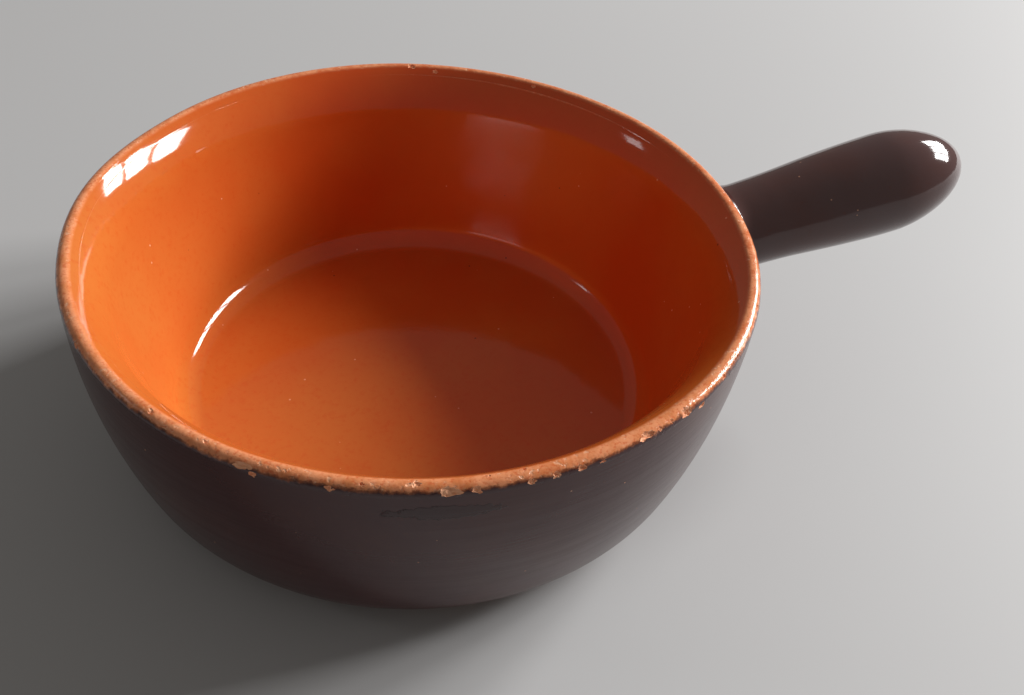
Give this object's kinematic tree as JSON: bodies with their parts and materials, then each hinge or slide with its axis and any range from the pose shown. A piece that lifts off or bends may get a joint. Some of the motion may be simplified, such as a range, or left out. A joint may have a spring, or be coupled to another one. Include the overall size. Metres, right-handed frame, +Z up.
{
  "type": "sauce dish with handle",
  "caption": "Round deep earthenware pan, orange glaze inside and over the rim, dark brown glaze outside, with one stick-like hollow handle joined at the upper wall",
  "frame": {"origin": "centre of the foot, on the bowl's axis, at the table's height", "axes": "+Z up along the bowl's axis; +X from the bowl's axis towards the handle; the part is symmetric about the XZ plane"},
  "size_m": [0.2425, 0.17, 0.072],
  "materials": {
    "terracotta": "matt fired clay",
    "slip": "matt fired slip",
    "orange_glaze": "glossy glaze",
    "brown_glaze": "glossy glaze"
  },
  "bodies": {
    "root": {"bowl_body": "terracotta", "handle_body": "terracotta", "luting_slip": "slip", "inner_glaze": "orange_glaze", "outer_glaze": "brown_glaze", "handle_glaze": "brown_glaze"}
  },
  "joints": []
}
